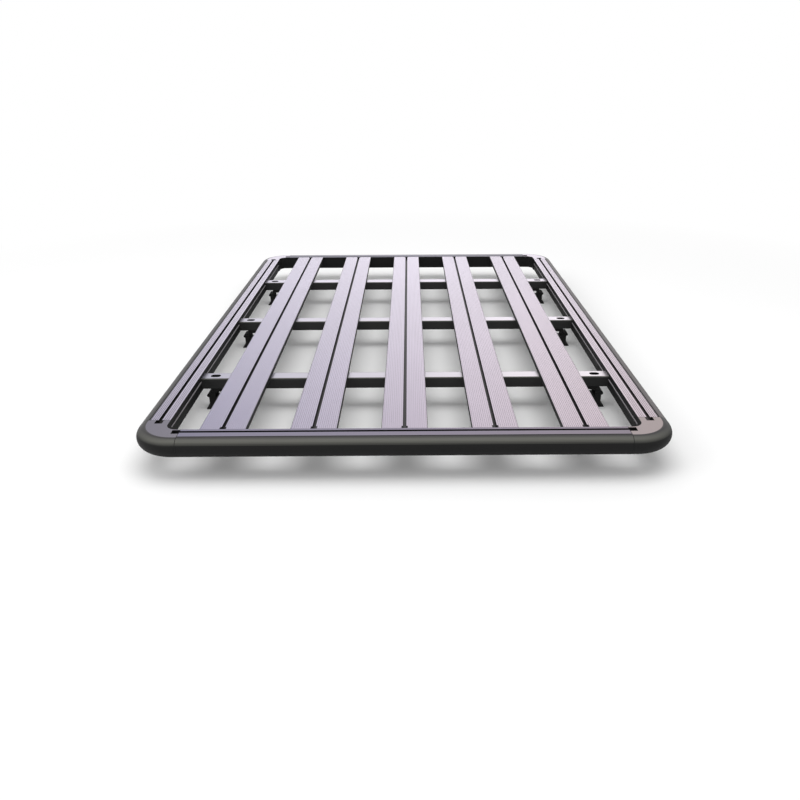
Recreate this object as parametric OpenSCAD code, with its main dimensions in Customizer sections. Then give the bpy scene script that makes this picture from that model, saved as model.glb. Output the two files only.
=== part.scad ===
/* [Platform] */
// Width over the two side rails
platform_w = 1240; // [1140:10:1340]
// Length over the two end rails
platform_l = 1800; // [1500:10:2100]
// Height of the perimeter rails
rail_h = 47; // [45:1:56]
// Width of a perimeter rail from its nose to its inner bead
rail_w = 74; // [72:1:84]
// Wall of the rail extrusions
rail_wall = 2.5; // [2:0.25:3]

/* [Rail inner side] */
// How far the lip and the bead stand out from the rail's inner web
bead_d = 3; // [2:0.5:4]
// Height of the lip along the top of the side rail's inner face
lip_h = 5; // [4:0.5:6]
// Depth of the bead's top below the deck
bead_top = 20; // [19:0.5:22]
// Height of the half-round bead
bead_h = 6; // [5:0.5:7]

/* [T-slots] */
// Width of the open neck of every T-slot
slot_w = 8.5; // [7:0.5:10]
// Thickness of the lips beside the neck
slot_lip = 2.5; // [2:0.25:3]
// Width of the channel under the lips
channel_w = 20; // [17:0.5:21]
// Height of the channel under the lips
channel_h = 7; // [5.5:0.25:7]
// Distance of a rail's slot from the rail's nose
slot_inset = 50; // [48:0.5:51]

/* [Planks] */
// Width of a deck plank
plank_w = 106; // [90:1:120]
// Thickness of a deck plank
plank_t = 12; // [12:0.5:15]
// Distance between the centres of neighbouring planks
plank_pitch = 207; // [190:1:215]
// Wall of the plank extrusions
plank_wall = 2.5; // [2:0.25:3]
// Width of the foot along each edge of a plank
plank_foot = 8; // [5:0.5:12]
// Radius of a plank's upper edges
plank_round = 1.2; // [0.6:0.1:1.5]
// Gap between a plank's end and the end rail
plank_gap = 0.5; // [0.3:0.1:2]
// Length of the slot mouth at a plank's end
plank_mouth_l = 11; // [8:0.5:16]
// Width of the slot mouth at a plank's end
plank_mouth_w = 14; // [12:0.5:16]

/* [Flutes] */
// Distance between neighbouring flutes
flute_pitch = 4.6; // [3.6:0.1:8]
// Width of a flute
flute_w = 1.3; // [0.8:0.1:1.6]
// Depth of a flute
flute_d = 0.6; // [0.3:0.1:0.9]
// Plain margin beside a fluted band
flute_edge = 2.5; // [2:0.25:5]
// Width of the groove between a rail's nose and its flat top
seam_w = 1.4; // [0.8:0.1:2]
// Depth of that groove
seam_d = 0.9; // [0.4:0.1:1.2]

/* [Cleats] */
// Width of the cleat under a plank's end
cleat_w = 98; // [60:1:104]
// How far a cleat reaches under its plank
cleat_reach = 20; // [12:1:40]
// Height of the cleat's leg on the end rail
cleat_h = 26; // [16:1:30]
// Thickness of a cleat
cleat_t = 3; // [2:0.25:4]

/* [Corners] */
// Outer radius of a corner in plan
corner_r = 100; // [92:1:104]
// Length of a corner along each rail
corner_leg = 112; // [108:1:125]
// Wall of the corner casting
corner_wall = 4; // [3:0.5:5]
// Length of the slot mouth in a corner
mouth_l = 18; // [14:0.5:20]
// Width of the slot mouth in a corner
mouth_w = 18; // [16:0.5:20]
// Length of the keys that join a corner to its rails
key_l = 40; // [30:1:46]

/* [Crossbars] */
// Width of a crossbar along the platform
bar_w = 44; // [40:1:50]
// Height of a crossbar
bar_h = 30; // [26:1:33]
// Wall of a crossbar
bar_wall = 2.5; // [2:0.25:3]
// Outside corner radius of a crossbar
bar_round = 4; // [3.5:0.5:6]
// Distance between neighbouring crossbars
bar_spacing = 487; // [400:1:560]
// Length of the tool opening over each foot
access_l = 27; // [26:0.5:34]
// Width of the tool opening over each foot
access_w = 18; // [17:0.5:20]
// Distance of the tool opening's centre outboard of the foot bolt
access_shift = 7.5; // [4:0.5:8]

/* [Feet] */
// Height of a foot below its crossbar
foot_h = 60; // [56:1:75]
// Length of a foot along the platform
foot_l = 42; // [36:1:44]
// Gap between the side rail's inner bead and the leg's neck
foot_gap = 25; // [20:1:34]
// Width of the leg in front view
leg_w = 31; // [30:1:36]
// Wall of the leg around its chamber
leg_wall = 5; // [4:0.5:5.5]
// Thickness of the leg's top plate
plate_t = 8; // [6:0.5:9]
// How far the top plate reaches inboard of the leg
plate_reach = 12; // [8:1:20]
// Height of the solid block at the leg's lower end
block_h = 24; // [22:0.5:25]
// Height of the leg's lower end above the bottom of the foot
leg_lift = 8; // [5:0.5:10]
// How far the finger stands out from the leg's neck
finger_reach = 17; // [14:0.5:20]
// Thickness of the finger
finger_t = 9; // [7:0.5:10]
// Depth of the finger's top below the crossbar
finger_drop = 15; // [12:0.5:16]
// Thickness of the hook behind its liner
hook_t = 12.5; // [11:0.5:14]
// How far the hook's tip stands out from the leg's neck
tip_reach = 22; // [20:0.5:24]
// Thickness of the hook's tip
tip_t = 4; // [3:0.5:5]
// Radius of the hook's hollow face
flare_r = 14; // [12:0.5:15]
// Thickness of the rubber liner
pad_t = 2.5; // [2:0.25:3]
// How far the leg's seat for the hook lies inboard of the neck
seat_step = 3; // [2:0.5:4]

/* [Bolts] */
// Diameter of the bolts
bolt_d = 8; // [6:0.5:8]
// Width across the corners of the bolt heads and nuts
head_d = 15; // [13:0.5:15]
// Height of the bolt heads
head_h = 5.5; // [4:0.5:6]
// Diameter of the washers
washer_d = 17; // [16:0.5:17]
// Thickness of the washers
washer_t = 1.6; // [1:0.1:2]
// Clearance of a bolt in its hole, on the radius
bolt_clear = 0.5; // [0.3:0.1:0.6]

/* [Hidden] */
$fn = 64;

// How far a cut runs past the face it opens
cut = 1;
// Clearance between the hook's top and the finger
hook_clear = 0.5;
// Clearance of the clamp bolt in the hook's thread
thread_clear = 0.1;
// Clearance of a crossbar's end round the bead
bead_clear = 0.3;
// Gap between a corner and the end of a rail
joint_gap = 0.4;
// Clearance of a key in the rail and the corner
key_clear = 0.3;
// Places of the five planks, counted from the middle one
plank_places = [-2, -1, 0, 1, 2];

left = 1;
right = 0;
front = 1;
middle = 0;
rear = -1;

deck_z = foot_h + bar_h + plank_t;
nose_r = rail_h / 2;
slot_depth = slot_lip + channel_h;
channel_in = slot_inset - channel_w / 2;
channel_out = slot_inset + channel_w / 2;
end_rail_w = channel_out + rail_wall;
web_u = rail_w - bead_d;
bead_r = bead_h / 2;
corner_straight = corner_leg - corner_r;
side_rail_l = platform_l - 2 * (corner_leg + joint_gap);
end_rail_l = platform_w - 2 * (corner_leg + joint_gap);
plank_l = platform_l - 2 * (end_rail_w + plank_gap);
bar_l = platform_w - 2 * web_u;
neck_x = platform_w / 2 - rail_w - foot_gap;
bolt_x = neck_x - leg_w / 2;
seat_x = neck_x - seat_step;
hook_face_x = seat_x + hook_t;
pad_face_x = hook_face_x + pad_t;
leg_in_x = neck_x - leg_w;
bay_top = foot_h - finger_drop - finger_t;
flare_z = tip_t + flare_r;
clamp_z = leg_lift + block_h / 2;
chamber_top = foot_h - plate_t;
chamber_bottom = leg_lift + block_h;

// Turns a drawing of x across and z up into a bar along y
module along_y(length) {
    rotate([90, 0, 0]) linear_extrude(height = length, center = true) children();
}

// Turns a drawing of y along and z up into a bar along x
module along_x(length) {
    rotate([90, 0, 90]) linear_extrude(height = length, center = true) children();
}

// Rectangle from its lower left to its upper right corner
module span(x0, z0, x1, z1) {
    translate([x0, z0]) square([x1 - x0, z1 - z0]);
}

// T-slot cut, with its neck's mouth centred on the origin
module slot_cut() {
    span(-slot_w / 2, -slot_lip - cut, slot_w / 2, cut);
    span(-channel_w / 2, -slot_depth, channel_w / 2, -slot_lip);
}

// Flutes that fill a band from one x to another
module flutes(x0, x1) {
    count = floor((x1 - x0 - flute_w) / flute_pitch);
    start = (x0 + x1 - count * flute_pitch) / 2;
    for (i = [0:count]) {
        x = start + i * flute_pitch;
        span(x - flute_w / 2, -flute_d, x + flute_w / 2, cut);
    }
}

// Outline of a perimeter rail, nose at x = 0 and deck at z = 0
module rail_outline(width) {
    translate([nose_r, -nose_r]) circle(nose_r);
    span(nose_r, -rail_h, width, 0);
}

// Chambers and T-slot of a rail whose inner wall ends at x = width
module rail_hollows(width) {
    translate([nose_r, -nose_r]) circle(nose_r - rail_wall);
    span(nose_r, rail_wall - rail_h, channel_in - rail_wall, -rail_wall);
    span(channel_in, rail_wall - rail_h, width - rail_wall, -slot_depth - rail_wall);
    translate([slot_inset, 0]) slot_cut();
    span(nose_r + seam_w / 2, -seam_d, nose_r + 3 * seam_w / 2, cut);
}

// Side rail: lip, groove, half-round bead and plain web along its inner side
module side_section() {
    difference() {
        union() {
            rail_outline(web_u);
            span(web_u, -lip_h, rail_w, 0);
            translate([rail_w - bead_r, -bead_top - bead_r]) circle(bead_r);
        }
        rail_hollows(web_u);
        flutes(nose_r + 2 * seam_w + flute_edge / 2, slot_inset - slot_w / 2 - flute_edge);
        flutes(slot_inset + slot_w / 2 + flute_edge, rail_w - flute_edge);
    }
}

module end_section() {
    difference() {
        rail_outline(end_rail_w);
        rail_hollows(end_rail_w);
    }
}

module side_rail(side) {
    color("dimgray")
    mirror([side, 0, 0])
    translate([platform_w / 2, 0, deck_z])
    along_y(side_rail_l) mirror([1, 0]) side_section();
}

module end_rail(turn) {
    color("dimgray")
    rotate([0, 0, turn])
    translate([0, platform_l / 2, deck_z])
    along_x(end_rail_l) mirror([1, 0]) end_section();
}

// Carries a rail drawing round a corner and along both of its legs
module corner_sweep(reach = 0) {
    leg = corner_straight + reach;
    rotate_extrude(angle = 90) translate([corner_r, 0]) mirror([1, 0]) children();
    translate([0, -leg / 2, 0]) along_y(leg) translate([corner_r, 0]) mirror([1, 0]) children();
    translate([-leg / 2, 0, 0]) along_x(leg) translate([corner_r, 0]) mirror([1, 0]) children();
}

module corner_cavity() {
    intersection() {
        translate([nose_r, -nose_r]) circle(nose_r - corner_wall);
        span(0, -rail_h, nose_r + cut, -slot_depth - corner_wall);
    }
    span(nose_r, -rail_h - cut, end_rail_w - corner_wall, -slot_depth - corner_wall);
}

// Narrows a corner's leg to the end rail's width, with a fillet on its inner side
module corner_narrowing() {
    fillet_r = corner_r - rail_w;
    y_in = corner_r - end_rail_w;
    translate([0, 0, -rail_h - cut]) linear_extrude(height = rail_h + 2 * cut) {
        span(-corner_leg, 0, 0, y_in);
        span(-corner_leg, 0, fillet_r, y_in - fillet_r);
        translate([0, y_in - fillet_r]) circle(fillet_r);
    }
}

// Draws its children on both legs of a corner, from the joint with the rail onwards
module on_legs(inset) {
    for (turn = [0, 1]) mirror([turn, -turn, 0])
    translate([corner_r - inset, -corner_straight, 0]) children();
}

module corner_at(side, end) {
    mirror([side, 0, 0]) mirror([0, end, 0])
    translate([platform_w / 2 - corner_r, platform_l / 2 - corner_r, deck_z]) children();
}

module corner(side, end) {
    color("gray")
    corner_at(side, end)
    difference() {
        corner_sweep() rail_outline(rail_w);
        corner_sweep(cut) corner_cavity();
        corner_narrowing();
        on_legs(slot_inset) translate([0, (mouth_l - cut) / 2, 0])
        along_y(mouth_l + cut) span(-mouth_w / 2, -slot_depth, mouth_w / 2, cut);
    }
}

// Keys across the joints, in the chamber between a rail's nose and its T-slot
module joint_keys() {
    color("silver")
    for (side = [left, right], end = [0, 1]) corner_at(side, end) on_legs(0)
    along_y(key_l) mirror([1, 0])
    span(
        nose_r + key_clear,
        rail_wall + key_clear - rail_h,
        channel_in - rail_wall - key_clear,
        -slot_depth - corner_wall - key_clear
    );
}

module plank_section() {
    edge = plank_w / 2;
    wall_x = channel_w / 2 + plank_wall;
    difference() {
        union() {
            span(-edge, -plank_t, edge, -plank_round);
            span(plank_round - edge, -plank_round, edge - plank_round, 0);
            for (x = [-1, 1]) translate([x * (edge - plank_round), -plank_round]) circle(plank_round);
        }
        slot_cut();
        for (flip = [0, 1]) mirror([flip, 0]) {
            flutes(slot_w / 2 + flute_edge, edge - flute_edge);
            span(wall_x, plank_wall - plank_t, edge - plank_wall, -plank_wall);
            span(wall_x, -plank_t - cut, edge - plank_foot, plank_wall - plank_t + cut);
        }
    }
}

module plank(place) {
    color("silver")
    translate([place * plank_pitch, 0, deck_z])
    difference() {
        along_y(plank_l) plank_section();
        for (flip = [0, 1]) mirror([0, flip, 0])
        translate([0, (plank_l - plank_mouth_l + cut) / 2, 0])
        along_y(plank_mouth_l + cut)
        span(-plank_mouth_w / 2, -slot_lip - cut, plank_mouth_w / 2, cut);
    }
}

module cleat_section() {
    span(0, -cleat_t, cleat_reach, 0);
    span(0, -cleat_h, cleat_t, 0);
}

// One cleat under the end of every plank, on the inner face of an end rail
module cleats(turn) {
    color("dimgray")
    rotate([0, 0, turn])
    for (place = plank_places)
    translate([place * plank_pitch, platform_l / 2 - end_rail_w, deck_z - plank_t])
    along_x(cleat_w) mirror([1, 0]) cleat_section();
}

// Rounded rectangle about the origin
module round_box(w, h, r) {
    span(-w / 2 + r, -h / 2, w / 2 - r, h / 2);
    span(-w / 2, -h / 2 + r, w / 2, h / 2 - r);
    for (x = [r - w / 2, w / 2 - r], y = [r - h / 2, h / 2 - r])
    translate([x, y]) circle(r);
}

// Oval with its long side along x
module oval(length, width) {
    span(-(length - width) / 2, -width / 2, (length - width) / 2, width / 2);
    for (x = [-1, 1]) translate([x * (length - width) / 2, 0]) circle(width / 2);
}

module crossbar(place) {
    bolt_way = bolt_d + 2 * bolt_clear;
    color("dimgray")
    translate([0, place * bar_spacing, foot_h + bar_h / 2])
    difference() {
        along_x(bar_l) round_box(bar_w, bar_h, bar_round);
        along_x(bar_l + 2 * cut)
        round_box(bar_w - 2 * bar_wall, bar_h - 2 * bar_wall, bar_round - bar_wall);
        for (flip = [0, 1]) mirror([flip, 0, 0])
        translate([platform_w / 2 - rail_w + bead_r, 0, bar_h / 2 + plank_t - bead_top - bead_r])
        rotate([90, 0, 0]) cylinder(h = bar_w + 2 * cut, r = bead_r + bead_clear, center = true);
        for (flip = [0, 1]) mirror([flip, 0, 0]) translate([bolt_x + access_shift, 0, 0]) {
            linear_extrude(height = bar_h) oval(access_l, access_w);
            translate([0, 0, -bar_h]) linear_extrude(height = bar_h) oval(access_l, bolt_way);
        }
    }
}

module leg_section() {
    difference() {
        union() {
            span(leg_in_x, leg_lift, seat_x, foot_h);
            span(leg_in_x - plate_reach, foot_h - plate_t, neck_x, foot_h);
            span(seat_x, bay_top, neck_x, foot_h);
            span(neck_x, bay_top, neck_x + finger_reach - finger_t / 2, bay_top + finger_t);
            translate([neck_x + finger_reach - finger_t / 2, bay_top + finger_t / 2])
            circle(finger_t / 2);
        }
        span(leg_in_x + leg_wall, chamber_bottom, neck_x - leg_wall, chamber_top);
    }
}

module hook_section() {
    tip_x = neck_x + tip_reach;
    difference() {
        union() {
            span(seat_x, 0, tip_x - tip_t / 2, bay_top - hook_clear);
            translate([tip_x - tip_t / 2, tip_t / 2]) circle(tip_t / 2);
        }
        translate([hook_face_x + flare_r, flare_z]) circle(flare_r);
        span(hook_face_x, flare_z, tip_x + cut, foot_h);
        span(hook_face_x + flare_r, tip_t, tip_x + cut, foot_h);
    }
}

module pad_section() {
    intersection() {
        difference() {
            union() {
                translate([hook_face_x + flare_r, flare_z]) circle(flare_r);
                span(hook_face_x, flare_z, pad_face_x, bay_top - hook_clear);
            }
            translate([hook_face_x + flare_r, flare_z]) circle(flare_r - pad_t);
            span(pad_face_x, flare_z, neck_x + tip_reach + flare_r, foot_h);
        }
        span(hook_face_x - cut, tip_t, neck_x + tip_reach - tip_t, bay_top - hook_clear);
    }
}

// Places a foot's piece under one end of a crossbar
module foot_at(place, side) {
    translate([0, place * bar_spacing, 0]) mirror([side, 0, 0]) children();
}

module foot_leg(place, side) {
    color("dimgray")
    foot_at(place, side)
    difference() {
        along_y(foot_l) leg_section();
        translate([bolt_x, 0, chamber_top - cut])
        cylinder(h = plate_t + 2 * cut, r = bolt_d / 2 + bolt_clear);
        translate([leg_in_x - cut, 0, clamp_z]) rotate([0, 90, 0])
        cylinder(h = leg_w + 2 * cut, r = bolt_d / 2 + bolt_clear);
    }
}

module foot_hook(place, side) {
    color("gray")
    foot_at(place, side)
    difference() {
        along_y(foot_l) hook_section();
        translate([seat_x - cut, 0, clamp_z]) rotate([0, 90, 0])
        cylinder(h = hook_t + 2 * cut, r = bolt_d / 2 + thread_clear);
    }
}

module foot_pad(place, side) {
    color("black")
    foot_at(place, side)
    along_y(foot_l) pad_section();
}

// Bolt with its washer, head at the origin's far side and shank down the z axis
module bolt(grip) {
    translate([0, 0, washer_t]) cylinder(h = head_h, r = head_d / 2, $fn = 6);
    cylinder(h = washer_t, r = washer_d / 2);
    translate([0, 0, -grip]) cylinder(h = grip + washer_t, r = bolt_d / 2);
}

module foot_bolts(place, side) {
    nut_h = head_h;
    mount_grip = bar_wall + plate_t;
    clamp_grip = seat_x - leg_in_x + hook_t - bolt_clear;
    color("silver")
    foot_at(place, side) {
        translate([bolt_x, 0, foot_h + bar_wall]) {
            bolt(mount_grip + nut_h + bolt_clear);
            translate([0, 0, -mount_grip - nut_h]) cylinder(h = nut_h, r = head_d / 2, $fn = 6);
        }
        translate([leg_in_x, 0, clamp_z]) rotate([0, -90, 0]) bolt(clamp_grip);
    }
}

side_rail(left);  // side_rail_left
side_rail(right);  // side_rail_right
end_rail(0);  // end_rail_front
end_rail(180);  // end_rail_rear
corner(left, 0);  // corner_front_left
corner(right, 0);  // corner_front_right
corner(left, 1);  // corner_rear_left
corner(right, 1);  // corner_rear_right
plank(plank_places[0]);  // plank_1
plank(plank_places[1]);  // plank_2
plank(plank_places[2]);  // plank_3
plank(plank_places[3]);  // plank_4
plank(plank_places[4]);  // plank_5
joint_keys();
cleats(0);  // cleats_front
cleats(180);  // cleats_rear
crossbar(front);  // crossbar_front
crossbar(middle);  // crossbar_middle
crossbar(rear);  // crossbar_rear
foot_leg(front, left);  // foot_leg_front_left
foot_leg(front, right);  // foot_leg_front_right
foot_leg(middle, left);  // foot_leg_middle_left
foot_leg(middle, right);  // foot_leg_middle_right
foot_leg(rear, left);  // foot_leg_rear_left
foot_leg(rear, right);  // foot_leg_rear_right
foot_hook(front, left);  // foot_hook_front_left
foot_hook(front, right);  // foot_hook_front_right
foot_hook(middle, left);  // foot_hook_middle_left
foot_hook(middle, right);  // foot_hook_middle_right
foot_hook(rear, left);  // foot_hook_rear_left
foot_hook(rear, right);  // foot_hook_rear_right
foot_pad(front, left);  // foot_pad_front_left
foot_pad(front, right);  // foot_pad_front_right
foot_pad(middle, left);  // foot_pad_middle_left
foot_pad(middle, right);  // foot_pad_middle_right
foot_pad(rear, left);  // foot_pad_rear_left
foot_pad(rear, right);  // foot_pad_rear_right
foot_bolts(front, left);  // foot_bolts_front_left
foot_bolts(front, right);  // foot_bolts_front_right
foot_bolts(middle, left);  // foot_bolts_middle_left
foot_bolts(middle, right);  // foot_bolts_middle_right
foot_bolts(rear, left);  // foot_bolts_rear_left
foot_bolts(rear, right);  // foot_bolts_rear_right
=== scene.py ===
import math

import bmesh
import bpy
from mathutils import Matrix, Vector


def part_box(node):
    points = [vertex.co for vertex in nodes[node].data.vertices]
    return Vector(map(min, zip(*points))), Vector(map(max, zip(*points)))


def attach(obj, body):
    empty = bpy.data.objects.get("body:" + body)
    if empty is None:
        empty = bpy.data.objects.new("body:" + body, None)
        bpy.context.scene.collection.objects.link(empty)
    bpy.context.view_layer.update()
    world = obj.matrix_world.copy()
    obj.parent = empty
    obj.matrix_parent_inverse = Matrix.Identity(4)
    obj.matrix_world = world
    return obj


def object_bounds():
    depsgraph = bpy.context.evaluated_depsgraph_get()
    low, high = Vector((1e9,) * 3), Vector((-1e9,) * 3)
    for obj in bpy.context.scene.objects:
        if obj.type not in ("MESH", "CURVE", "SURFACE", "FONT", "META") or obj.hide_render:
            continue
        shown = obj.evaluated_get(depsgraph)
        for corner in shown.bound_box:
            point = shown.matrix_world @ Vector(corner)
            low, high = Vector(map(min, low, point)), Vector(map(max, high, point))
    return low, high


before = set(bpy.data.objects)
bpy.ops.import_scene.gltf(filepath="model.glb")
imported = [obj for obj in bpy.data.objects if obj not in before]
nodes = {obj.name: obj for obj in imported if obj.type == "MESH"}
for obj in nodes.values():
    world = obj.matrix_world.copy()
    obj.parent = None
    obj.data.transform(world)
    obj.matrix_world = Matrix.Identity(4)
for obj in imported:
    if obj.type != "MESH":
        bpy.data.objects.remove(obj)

cad_low, cad_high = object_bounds()
deck_z = cad_high.z


def rgb(red, green, blue):
    return (red, green, blue, 1.0)


# Camera, fitted to the photograph. The picture's optical centre lies right of its middle.
PICTURE_PX = 800
FOCAL_PX = 738.9
CENTRE_PX = 413.5
CAMERA_AT = Vector((0.0138, -2.3449, 0.8475))
PITCH = math.radians(24.149)
YAW = math.radians(0.256)
ROLL = math.radians(-0.255)
SENSOR_MM = 36.0
CLIP_NEAR = 0.05
CLIP_FAR = 200

# The coat's own colour, on most pieces and on the crossbars, and the colour of its die marks
BLACK = rgb(0.01, 0.01, 0.01)
BAR_BLACK = rgb(0.026, 0.026, 0.026)
MARK_BLACK = rgb(0.01, 0.01, 0.012)
# The palest painted reflection that a top gets, and the one dim painted highlight and reflection on all
# that turns up on a foot
PALE_REFLECTION = rgb(0.9, 0.84, 0.97)
FOOT_PAINTED_SHINE = rgb(0.025, 0.025, 0.026)
# Painted highlights on what turns up, at the rack's left and right, on what turns towards its ends as
# well, and on the bead low on a side rail's inner face
PAINTED_HIGHLIGHT = {
    "left": rgb(0.04, 0.038, 0.039),
    "right": rgb(0.04, 0.038, 0.039),
    "ends": rgb(0.15, 0.15, 0.133),
    "bead": rgb(0.3, 0.28, 0.3),
}
WHITE = rgb(1, 1, 1)

# How far from the rack's middle the painted highlights and reflections change, and how much of a top's
# front painted reflection it reaches
PAINTED_LIGHT_X = 0.6
PAINTED_LIGHT_Y = 0.8
FRONT_SHARE = 0.7
# Part of the normal along an axis at which a painted highlight, or a flat top's painted reflection,
# starts, and at which it is full
FACING_UP = (0.45, 0.95)
FACING_ENDS = (0.15, 0.6)
FLAT_TOP = (0.9992, 0.9999)

# Depth below a top at which its painted reflection has gone dark, a painted shade that sets how much its
# flutes show
FLUTE_SHADE = 0.0022
RAIL_FLUTE_SHADE = 0.0012
# Depth below a top that still has its full painted reflection
TOP_SLACK = 0.0001
# Depth below the top at which a side rail's bead starts, and the height of the change of colour to its
# painted highlight
BEAD_DEPTH = 0.018
BEAD_EDGE = 0.001
# Width from a rail's nose over its groove to where the flat top's painted reflection starts
SEAM = 0.0036
# Width of the dark line on a corner along its joint with a rail
JOINT_LINE = 0.0008
# Width over which a dark line fades
LINE_EDGE = 0.0002

# Fineness of the coat's die marks, soft clouds and grain, in cells to the metre
MARK_SCALE = 420
CLOUD_SCALE = 4
GRAIN_SCALE = 1400
# Share of their fineness that the marks keep along an extrusion, and the clouds along the rack
MARK_STRETCH = 0.02
CLOUD_STRETCH = 0.4
# That share on each axis, by the way that a piece's marks run
MARKS_ALONG = {"x": (MARK_STRETCH, 1, 1), "y": (1, MARK_STRETCH, 1), "none": (1, 1, 1)}
# How much of their own colour the marks have
MARK_SHARE = 0.05
# Height of the coat's bumps, and how much of it the grain and the marks make
COAT_BUMP = 0.0002
GRAIN_BUMPS = 0.35
MARK_BUMPS = 0.65
# Roughness of the smoothest and the roughest parts, and what is added where the coat doesn't turn up
SATIN = (0.3, 0.4)
DULL = (0.4, 0.5)
SIDE_ROUGH = 0.25
# How metallic the top's pale painted reflection is, and the strength of the coat's own shine
METAL_SHARE = 0.85
COAT_SPECULAR = 0.12

# Half of the floor's width, and the distances from its middle over which it fades to white
FLOOR_HALF = 60.0
FADE_START = 1.1
FADE_END = 2.6
# Strength of the white light from all round
WORLD_LIGHT = 0.8

# Button head screw on a washer. The socket's radius is half of its width between flats.
WASHER_R = 0.0075
WASHER_T = 0.0014
HEAD_R = 0.0065
HEAD_H = 0.0036
SOCKET_R = 0.0021
SOCKET_D = 0.0022
# How far the head's dome bends in on its way up
HEAD_TURN = math.radians(60)
# Turn from one flat of the socket to the next
HEXAGON_TURN = math.radians(60)
# Turn between two faces above which the edge between them is sharp
SHARP_TURN = math.radians(35)
# Points round a head, and rings up its dome
SEGMENTS = 36
DOME_STEPS = 6

# A cleat's thickness, and its screws' places from its middle and its lower edge
CLEAT_T = 0.003
CLEAT_SCREW_X = 0.03
CLEAT_SCREW_UP = 0.01
# Where a rail is screwed to its key, from the rail's outer edge and its end
KEY_INSET = 0.0315
KEY_BACK = 0.012


def new_object(name, data):
    made = bpy.data.objects.new(name, data)
    bpy.context.scene.collection.objects.link(made)
    return made


def mesh_object(name, form, material):
    """An object with the form as its mesh, which uses the form up."""
    mesh = bpy.data.meshes.new(name)
    form.to_mesh(mesh)
    form.free()
    mesh.materials.append(material)
    return new_object(name, mesh)


def make_camera():
    data = bpy.data.cameras.new("camera")
    data.sensor_width = SENSOR_MM
    data.lens = FOCAL_PX / PICTURE_PX * SENSOR_MM
    data.shift_x = (PICTURE_PX / 2 - CENTRE_PX) / PICTURE_PX
    data.clip_start = CLIP_NEAR
    data.clip_end = CLIP_FAR
    camera = new_object("camera", data)
    level = math.cos(PITCH)
    forward = Vector((math.sin(YAW) * level, math.cos(YAW) * level, -math.sin(PITCH)))
    right = Vector((math.cos(YAW), -math.sin(YAW), 0))
    up = right.cross(forward)
    tilted_right = right * math.cos(ROLL) + up * math.sin(ROLL)
    tilted_up = up * math.cos(ROLL) - right * math.sin(ROLL)
    turn = Matrix((tilted_right, tilted_up, -forward)).transposed()
    camera.matrix_world = Matrix.Translation(CAMERA_AT) @ turn.to_4x4()
    bpy.context.scene.camera = camera


class Graph:
    """A material's or a world's node tree, with short calls for the nodes used here."""

    def __init__(self, owner, output):
        owner.use_nodes = True
        self.tree = owner.node_tree
        self.tree.nodes.clear()
        self.output = self.node(output)

    def feed(self, socket, value):
        """Link a socket to the value where that is a socket too, and otherwise set it."""
        if isinstance(value, bpy.types.NodeSocket):
            self.tree.links.new(value, socket)
        else:
            socket.default_value = value

    def node(self, kind, **inputs):
        made = self.tree.nodes.new(kind)
        for name, value in inputs.items():
            self.feed(made.inputs[name.replace("_", " ")], value)
        return made

    def show(self, shader):
        self.feed(self.output.inputs["Surface"], shader)

    def position(self, stretch=(1, 1, 1)):
        coords = self.node("ShaderNodeTexCoord")
        mapping = self.node("ShaderNodeMapping", Vector=coords.outputs["Object"], Scale=stretch)
        return mapping.outputs["Vector"]

    def parts(self, vector):
        """A vector's three parts, by the letter of their axis."""
        return self.node("ShaderNodeSeparateXYZ", Vector=vector).outputs

    def noise(self, scale, stretch=(1, 1, 1), detail=3.0, roughness=0.5):
        made = self.node(
            "ShaderNodeTexNoise",
            Vector=self.position(stretch),
            Scale=scale,
            Detail=detail,
            Roughness=roughness,
        )
        return made.outputs["Fac"]

    def ramp(self, value, low, high, start=0.0, end=1.0):
        """From start to end as the value goes from low to high, and level outside them."""
        made = self.node(
            "ShaderNodeMapRange",
            Value=value,
            From_Min=low,
            From_Max=high,
            To_Min=start,
            To_Max=end,
        )
        return made.outputs["Result"]

    def math(self, operation, first, second=0.0):
        made = self.node("ShaderNodeMath")
        made.operation = operation
        self.feed(made.inputs[0], first)
        self.feed(made.inputs[1], second)
        return made.outputs["Value"]

    def mix(self, share, first, second):
        """The first colour, with a share of the second one."""
        made = self.node("ShaderNodeMix")
        made.data_type = "RGBA"
        sockets = {socket.identifier: socket for socket in [*made.inputs, *made.outputs]}
        self.feed(sockets["Factor_Float"], share)
        self.feed(sockets["A_Color"], first)
        self.feed(sockets["B_Color"], second)
        return sockets["Result_Color"]

    def blend(self, share, first, second):
        """The first shader, with a share of the second one."""
        made = self.node("ShaderNodeMixShader", Fac=share)
        self.feed(made.inputs[1], first)
        self.feed(made.inputs[2], second)
        return made.outputs["Shader"]

    def turned(self, axis, low, high):
        """0 to 1 as the surface turns to face up, for Z, or either end of the rack, for Y."""
        geometry = self.node("ShaderNodeNewGeometry")
        facing = self.parts(geometry.outputs["True Normal"])[axis]
        if axis == "Y":
            facing = self.math("ABSOLUTE", facing)
        return self.ramp(facing, low, high)

    def bump(self, height, strength, distance):
        made = self.node("ShaderNodeBump", Height=height, Strength=strength, Distance=distance)
        return made.outputs["Normal"]


def material_graph(name):
    material = bpy.data.materials.new(name)
    return material, Graph(material, "ShaderNodeOutputMaterial")


def surface(graph, **inputs):
    graph.show(graph.node("ShaderNodeBsdfPrincipled", **inputs).outputs["BSDF"])


def painted_highlight_colour(graph, place, level, to_right, highlight):
    """The painted highlight on what turns up without being a flat top."""
    towards_sides = graph.mix(to_right, highlight["left"], highlight["right"])
    colour = graph.mix(graph.turned("Y", *FACING_ENDS), towards_sides, highlight["ends"])
    bead_top = level - BEAD_DEPTH
    above_bead = graph.ramp(place["Z"], bead_top, bead_top + BEAD_EDGE)
    return graph.mix(above_bead, highlight["bead"], colour)


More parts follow.
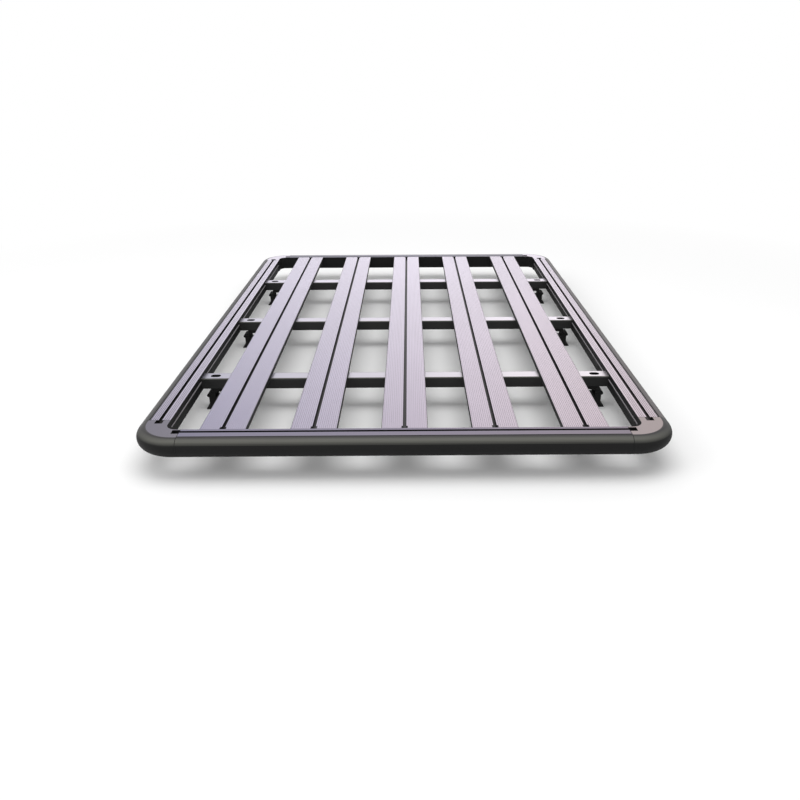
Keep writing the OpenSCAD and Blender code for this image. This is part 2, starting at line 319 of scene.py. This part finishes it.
# The painted reflection on a flat top, paler to the right and towards the front
def painted_reflection_colour(graph, place, to_right, top):
    to_front = graph.ramp(place["Y"], -PAINTED_LIGHT_Y, PAINTED_LIGHT_Y, end=FRONT_SHARE)
    return graph.mix(to_front, graph.mix(to_right, top["left"], top["right"]), top["front"])


def painted_reflection_share(graph, place, level, fall, clouds):
    """Share of the painted reflection: 1 on the flat top, less in its clouds, less in its flutes and 0
    in its slots as painted shade, and 0 where it turns away.
    """
    height = graph.ramp(place["Z"], level - fall, level - TOP_SLACK)
    share = graph.math("MULTIPLY", graph.turned("Z", *FLAT_TOP), height)
    return graph.math("MULTIPLY", share, graph.ramp(clouds, 0.3, 0.7, start=0.9))


def draw_line(graph, place, line, dark, colour):
    """The colour, crossed by a dark line at the same distance on either side of the middle."""
    axis, start, end = line
    from_middle = graph.math("ABSOLUTE", place[axis])
    off_line = graph.math("ABSOLUTE", graph.math("SUBTRACT", from_middle, (start + end) / 2))
    half = abs(end - start) / 2
    return graph.mix(graph.ramp(off_line, half, half + LINE_EDGE), dark, colour)


def coat_material(name, along, level, own, highlight, top, lines=(), rough=SATIN, fall=FLUTE_SHADE):
    """Satin coat on aluminium: dark low down, with a painted highlight where it turns up and a painted
    reflection, palest, on the top at a level.

    A top's painted reflection has colours for the rack's left, right and front. Each line is an axis and
    the two distances from the middle that a dark groove or joint lies between. The extrusion die's marks
    run along x or y, and a casting has no such marks. The fall is the depth at which the top's painted
    reflection has gone dark, a painted shade in its flutes and slots.
    """
    material, graph = material_graph(name)
    marks = graph.noise(MARK_SCALE, MARKS_ALONG[along], detail=2.0)
    clouds = graph.noise(CLOUD_SCALE, (1, CLOUD_STRETCH, 1), roughness=0.55)
    grain = graph.noise(GRAIN_SCALE, detail=1.0)
    place = graph.parts(graph.position())
    to_right = graph.ramp(place["X"], -PAINTED_LIGHT_X, PAINTED_LIGHT_X)
    # Painted highlight where the coat turns up
    facing_up = graph.turned("Z", *FACING_UP)
    colour = graph.mix(facing_up, own, painted_highlight_colour(graph, place, level, to_right, highlight))
    # Painted reflection on the flat top, with painted shade in its flutes and slots
    reflection_share = painted_reflection_share(graph, place, level, fall, clouds)
    colour = graph.mix(reflection_share, colour, painted_reflection_colour(graph, place, to_right, top))
    for line in lines:
        colour = draw_line(graph, place, line, own, colour)
    colour = graph.mix(graph.ramp(marks, 0.35, 0.7, end=MARK_SHARE), colour, MARK_BLACK)
    grain_bumps = graph.math("MULTIPLY", grain, GRAIN_BUMPS)
    mark_bumps = graph.math("MULTIPLY", marks, MARK_BUMPS)
    bumps = graph.math("ADD", grain_bumps, mark_bumps)
    roughness = graph.ramp(clouds, 0.25, 0.75, *rough)
    added = graph.ramp(facing_up, 0.0, 1.0, start=SIDE_ROUGH, end=0.0)
    surface(
        graph,
        Base_Color=colour,
        Metallic=graph.math("MULTIPLY", reflection_share, METAL_SHARE),
        Roughness=graph.math("ADD", roughness, added),
        Normal=graph.bump(bumps, strength=0.1, distance=COAT_BUMP),
        IOR=1.5,
        Specular_IOR_Level=COAT_SPECULAR,
    )
    return material


def nose_radius():
    """Radius of a rail's round nose, which is half of the rail's height."""
    return (deck_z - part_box("side_rail_left")[0].z) / 2


def end_rail_coat():
    nose_y = cad_high.y - nose_radius()
    return coat_material(
        "rail_coat_x",
        along="x",
        level=deck_z,
        own=BLACK,
        highlight=PAINTED_HIGHLIGHT,
        # The top's colours are a painted reflection, paler to the right and towards the front
        top={
            "left": rgb(0.19, 0.18, 0.26),
            "right": rgb(0.23, 0.19, 0.23),
            "front": rgb(0.3, 0.29, 0.36),
        },
        lines=[("Y", nose_y, nose_y - SEAM)],
    )


def side_rail_coat():
    nose_x = cad_high.x - nose_radius()
    return coat_material(
        "rail_coat_y",
        along="y",
        level=deck_z,
        own=BLACK,
        # Painted highlight brighter on the right rail's nose, where more light falls
        highlight={**PAINTED_HIGHLIGHT, "right": rgb(0.1, 0.088, 0.09)},
        # The top's colours are a painted reflection, paler to the right and towards the front
        top={"left": rgb(0.4, 0.37, 0.47), "right": rgb(0.58, 0.49, 0.54), "front": PALE_REFLECTION},
        lines=[("X", nose_x, nose_x - SEAM)],
        fall=RAIL_FLUTE_SHADE,
    )


def plank_coat():
    return coat_material(
        "plank_coat",
        along="y",
        level=deck_z,
        own=BLACK,
        highlight=PAINTED_HIGHLIGHT,
        # The top's colours are a painted reflection, paler to the right and towards the front
        top={"left": rgb(0.36, 0.345, 0.475), "right": rgb(0.62, 0.52, 0.57), "front": PALE_REFLECTION},
    )


def bar_coat():
    """Coat of the crossbars, and of the cleats and joint keys beside them."""
    return coat_material(
        "bar_coat",
        along="x",
        level=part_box("crossbar_rear")[1].z,
        own=BAR_BLACK,
        highlight=PAINTED_HIGHLIGHT,
        # The top's colours are a painted reflection, paler to the right and towards the front
        top={"left": rgb(0.3, 0.3, 0.37), "right": rgb(0.8, 0.74, 0.77), "front": PALE_REFLECTION},
    )


def corner_coat():
    """The castings' coat, with a dark line along each joint with a rail."""
    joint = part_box("corner_front_right")[0]
    return coat_material(
        "corner_coat",
        along="none",
        level=deck_z,
        own=BLACK,
        highlight=PAINTED_HIGHLIGHT,
        # The top's colours are a painted reflection, paler to the right and towards the front
        top={"left": rgb(0.17, 0.16, 0.2), "right": rgb(0.36, 0.3, 0.3), "front": PALE_REFLECTION},
        lines=[("X", joint.x, joint.x + JOINT_LINE), ("Y", joint.y, joint.y + JOINT_LINE)],
    )


def foot_coat():
    return coat_material(
        "foot_coat",
        along="y",
        level=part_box("foot_leg_rear_left")[1].z,
        own=BLACK,
        # Dim painted highlight and painted reflection on all of a foot that turns up
        highlight=dict.fromkeys(PAINTED_HIGHLIGHT, FOOT_PAINTED_SHINE),
        top={"left": FOOT_PAINTED_SHINE, "right": FOOT_PAINTED_SHINE, "front": FOOT_PAINTED_SHINE},
        rough=DULL,
    )


def rubber_material():
    material, graph = material_graph("liner_rubber")
    grain = graph.noise(scale=900)
    worn = graph.ramp(grain, 0.3, 0.7)
    surface(
        graph,
        Base_Color=graph.mix(worn, rgb(0.008, 0.008, 0.008), rgb(0.022, 0.021, 0.02)),
        Roughness=graph.ramp(grain, 0.3, 0.7, start=0.72, end=0.9),
        Normal=graph.bump(grain, strength=0.4, distance=0.0003),
    )
    return material


def steel_material():
    material, graph = material_graph("bolt_steel")
    grain = graph.noise(scale=1600, detail=2.0)
    patches = graph.noise(scale=120)
    worn = graph.ramp(patches, 0.35, 0.7)
    surface(
        graph,
        Base_Color=graph.mix(worn, rgb(0.52, 0.52, 0.54), rgb(0.38, 0.37, 0.36)),
        Metallic=1.0,
        Roughness=graph.ramp(grain, 0.3, 0.7, start=0.24, end=0.38),
        Normal=graph.bump(grain, strength=0.15, distance=0.0001),
    )
    return material


def dress_nodes(steel):
    bars = bar_coat()
    feet = foot_coat()
    looks = {
        "side_rail": side_rail_coat(),
        "end_rail": end_rail_coat(),
        "corner": corner_coat(),
        "plank": plank_coat(),
        "cleats": bars,
        "joint_keys": bars,
        "crossbar": bars,
        "foot_leg": feet,
        "foot_hook": feet,
        "foot_pad": rubber_material(),
        "foot_bolts": steel,
    }
    for name, piece in nodes.items():
        start = next(start for start in looks if name.startswith(start))
        piece.data.materials.clear()
        piece.data.materials.append(looks[start])


def head_rings():
    """Radius, height and hexagon or not of a screw head's rings, from its foot to its socket's floor."""
    rings = [(WASHER_R, 0.0, False), (WASHER_R, WASHER_T, False), (HEAD_R, WASHER_T, False)]
    for step in range(1, DOME_STEPS + 1):
        turn = HEAD_TURN * step / DOME_STEPS
        rise = HEAD_H * math.sin(turn) / math.sin(HEAD_TURN)
        rings.append((HEAD_R * math.cos(turn), WASHER_T + rise, False))
    top = WASHER_T + HEAD_H
    return rings + [(SOCKET_R, top, True), (SOCKET_R, top - SOCKET_D, True)]


def hexagon_reach(half_width, angle):
    """How far from its middle a hexagon's side lies at an angle, for half its width between flats."""
    from_flat = (angle + HEXAGON_TURN / 2) % HEXAGON_TURN - HEXAGON_TURN / 2
    return half_width / math.cos(from_flat)


def add_ring(form, move, radius, height, hexagon):
    """One ring of points round a head, as a circle or a hexagon."""
    ring = []
    for step in range(SEGMENTS):
        angle = math.tau * step / SEGMENTS
        reach = hexagon_reach(radius, angle) if hexagon else radius
        point = Vector((reach * math.cos(angle), reach * math.sin(angle), height))
        ring.append(form.verts.new(move @ point))
    return ring


def add_head(form, move):
    """One screw head, turned and moved from where it stands upright at the middle."""
    rings = [add_ring(form, move, *ring) for ring in head_rings()]
    for low, high in zip(rings, rings[1:]):
        for step in range(SEGMENTS):
            after = (step + 1) % SEGMENTS
            form.faces.new((low[step], low[after], high[after], high[step]))
    form.faces.new(reversed(rings[0]))
    form.faces.new(rings[-1])


def make_screws(name, moves, material):
    """One piece with a screw head at each of the moves."""
    form = bmesh.new()
    for move in moves:
        add_head(form, move)
    for face in form.faces:
        face.smooth = True
    screws = mesh_object(name, form, material)
    screws.data.set_sharp_from_angle(angle=SHARP_TURN)
    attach(screws, "root")


def plank_middles():
    """Where the middle of each plank lies from left to right."""
    boxes = [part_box(name) for name in sorted(nodes) if name.startswith("plank")]
    return [(low.x + high.x) / 2 for low, high in boxes]


def plank_screw_moves():
    """Up through each crossbar into the floor of each plank's slot."""
    down = Matrix.Rotation(math.pi, 4, "X")
    for place in ("front", "middle", "rear"):
        low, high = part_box(f"crossbar_{place}")
        for x in plank_middles():
            yield Matrix.Translation((x, (low.y + high.y) / 2, low.z)) @ down


def cleat_screw_moves():
    """Through each cleat into the end rail, two to a cleat."""
    for end, facing in (("front", 1), ("rear", -1)):
        low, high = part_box(f"cleats_{end}")
        face_y = max(abs(low.y), abs(high.y)) - CLEAT_T
        inward = Matrix.Rotation(facing * math.pi / 2, 4, "X")
        for x in plank_middles():
            for off in (-CLEAT_SCREW_X, CLEAT_SCREW_X):
                yield Matrix.Translation((x + off, facing * face_y, low.z + CLEAT_SCREW_UP)) @ inward


def key_screw_moves():
    """Up through each rail's ends into the keys in its chamber."""
    down = Matrix.Rotation(math.pi, 4, "X")
    rail_low, rail_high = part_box("side_rail_left")
    in_side_rail = (cad_high.x - KEY_INSET, rail_high.y - KEY_BACK)
    in_end_rail = (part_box("end_rail_front")[1].x - KEY_BACK, cad_high.y - KEY_INSET)
    for x, y in (in_side_rail, in_end_rail):
        for side in (-1, 1):
            for end in (-1, 1):
                yield Matrix.Translation((side * x, end * y, rail_low.z)) @ down


def add_screws(steel):
    make_screws("plank_screws", plank_screw_moves(), steel)
    make_screws("cleat_screws", cleat_screw_moves(), steel)
    make_screws("key_screws", key_screw_moves(), steel)


def floor_material():
    """Pale matt floor that fades into the white background far from the rack."""
    material, graph = material_graph("floor")
    cloud = graph.noise(scale=0.6, detail=2.0)
    colour = graph.mix(cloud, rgb(0.9, 0.9, 0.9), rgb(0.93, 0.93, 0.93))
    near = graph.node("ShaderNodeBsdfDiffuse", Color=colour)
    far = graph.node("ShaderNodeEmission", Color=WHITE, Strength=1.0)
    distance = graph.node("ShaderNodeVectorMath")
    distance.operation = "LENGTH"
    graph.feed(distance.inputs["Vector"], graph.position())
    fade = graph.ramp(distance.outputs["Value"], FADE_START, FADE_END)
    graph.show(graph.blend(fade, near.outputs["BSDF"], far.outputs["Emission"]))
    return material


def make_floor():
    form = bmesh.new()
    bmesh.ops.create_grid(form, x_segments=1, y_segments=1, size=FLOOR_HALF)
    floor = mesh_object("floor", form, floor_material())


def make_world():
    """White where the camera, a reflection or a clear body sees it, and a weaker light on the rack."""
    world = bpy.data.worlds.new("studio")
    bpy.context.scene.world = world
    graph = Graph(world, "ShaderNodeOutputWorld")
    light = graph.node("ShaderNodeBackground", Color=WHITE, Strength=WORLD_LIGHT)
    shown = graph.node("ShaderNodeBackground", Color=WHITE, Strength=1.0)
    rays = graph.node("ShaderNodeLightPath").outputs
    seen = rays["Is Camera Ray"]
    for kind in ("Is Glossy Ray", "Is Transmission Ray"):
        seen = graph.math("MAXIMUM", seen, rays[kind])
    graph.show(graph.blend(seen, light.outputs["Background"], shown.outputs["Background"]))


def make_lamp(name, at, size, watts):
    """A softbox that points at the floor's middle, under the rack."""
    data = bpy.data.lights.new(name, "AREA")
    data.shape = "RECTANGLE"
    data.size, data.size_y = size
    data.energy = watts
    lamp = new_object(name, data)
    lamp.location = at
    lamp.visible_camera = False
    lamp.rotation_euler = (-Vector(at)).to_track_quat("-Z", "Y").to_euler()


def make_lamps():
    make_lamp("softbox_over", at=(0.0, -0.6, 3.4), size=(3.2, 2.4), watts=46)
    make_lamp("softbox_far", at=(0.0, 5.0, 2.4), size=(5.0, 2.4), watts=14)
    make_lamp("softbox_left", at=(-3.2, -1.8, 2.4), size=(2.0, 1.6), watts=25)


bpy.context.scene.view_settings.view_transform = "Standard"
bolt_steel = steel_material()
make_camera()
dress_nodes(bolt_steel)
add_screws(bolt_steel)
make_floor()
make_world()
make_lamps()
